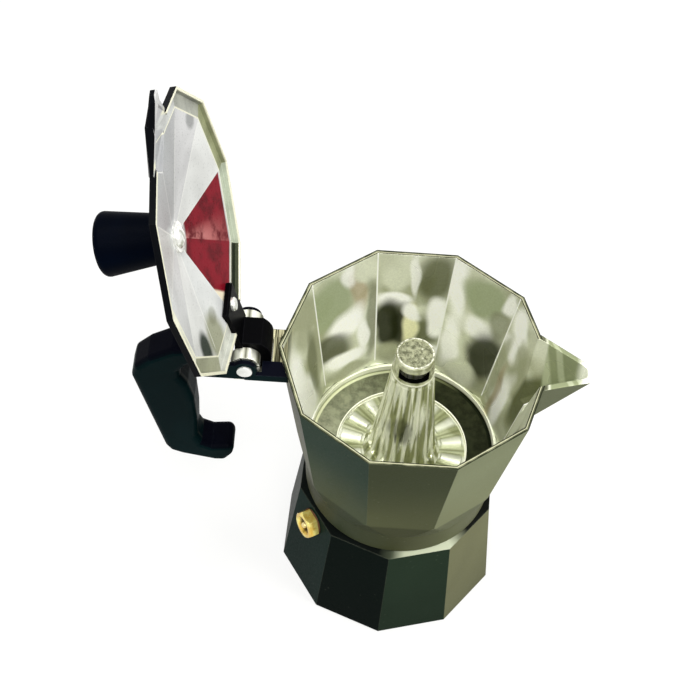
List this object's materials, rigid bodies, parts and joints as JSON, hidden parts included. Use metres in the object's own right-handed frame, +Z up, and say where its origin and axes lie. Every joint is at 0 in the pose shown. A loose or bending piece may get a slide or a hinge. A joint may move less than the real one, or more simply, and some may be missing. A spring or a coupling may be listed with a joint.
{
  "type": "stovetop coffee maker",
  "caption": "Ten-sided stovetop coffee maker with a safety valve, screw-on collector with column and spout, side handle and hinged lid, shown open.",
  "frame": {"origin": "centre of the boiler's flat base", "axes": "+Z up, +X towards the spout, -X towards the hinge and handle"},
  "size_m": [0.1598, 0.0856, 0.2356],
  "materials": {
    "boiler_paint": "satin olive-grey paint outside, bare inside",
    "collector_paint": "satin olive-grey paint outside, polished bare metal inside",
    "column_cast": "fine polished cast",
    "lid_shell": "black outside, bright bare metal inside",
    "bare_aluminium": "satin",
    "valve_brass": "bright turned",
    "valve_fibre": "matt",
    "spring_steel": "satin",
    "bright_steel": "bright",
    "seal_rubber": "matt",
    "grip_plastic": "satin",
    "tab_plastic": "gloss",
    "knob_plastic": "satin"
  },
  "bodies": {
    "boiler_base": {"boiler": "boiler_paint", "valve_washer": "valve_fibre", "valve_body": "valve_brass", "valve_spring": "spring_steel", "valve_retainer": "valve_brass", "funnel_basket": "bare_aluminium", "funnel_stem": "bare_aluminium", "funnel_sieve": "bare_aluminium"},
    "valve_pin_body": {"valve_pin": "bright_steel"},
    "seal_body": {"gasket": "seal_rubber", "filter_plate": "bare_aluminium"},
    "collector_body": {"collector": "collector_paint", "column": "column_cast", "column_cap": "column_cast", "handle": "grip_plastic", "hinge_pin": "bright_steel"},
    "lid_body": {"lid": "lid_shell", "hinge_tab": "tab_plastic", "tab_rivet": "bright_steel", "knob": "knob_plastic", "knob_screw": "bright_steel", "knob_washer": "bright_steel"}
  },
  "joints": [
    {"name": "collector_lift", "type": "slide", "parent": "boiler_base", "child": "seal_body", "axis": [0, 0, 1], "range_m": [0, 0.0076]},
    {"name": "collector_turn", "type": "hinge", "parent": "seal_body", "child": "collector_body", "pos_m": [0, 0, 0.0642], "axis": [0, 0, 1], "range_deg": [0, 900]},
    {"name": "lid_hinge", "type": "hinge", "parent": "collector_body", "child": "lid_body", "pos_m": [-0.055, 0, 0.1247], "axis": [0, 1, 0], "range_deg": [0, 104.7]},
    {"name": "valve_blow_off", "type": "slide", "parent": "boiler_base", "child": "valve_pin_body", "axis": [-0.8378, -0.5358, 0.1045], "range_m": [0, 0.0012], "stiffness_N_per_m": 500, "springref_m": -0.002, "deforming": ["valve_spring"]}
  ],
  "couplings": [
    {"joint": "collector_lift", "follows": "collector_turn", "m_per_rad": 0.00047746}
  ]
}
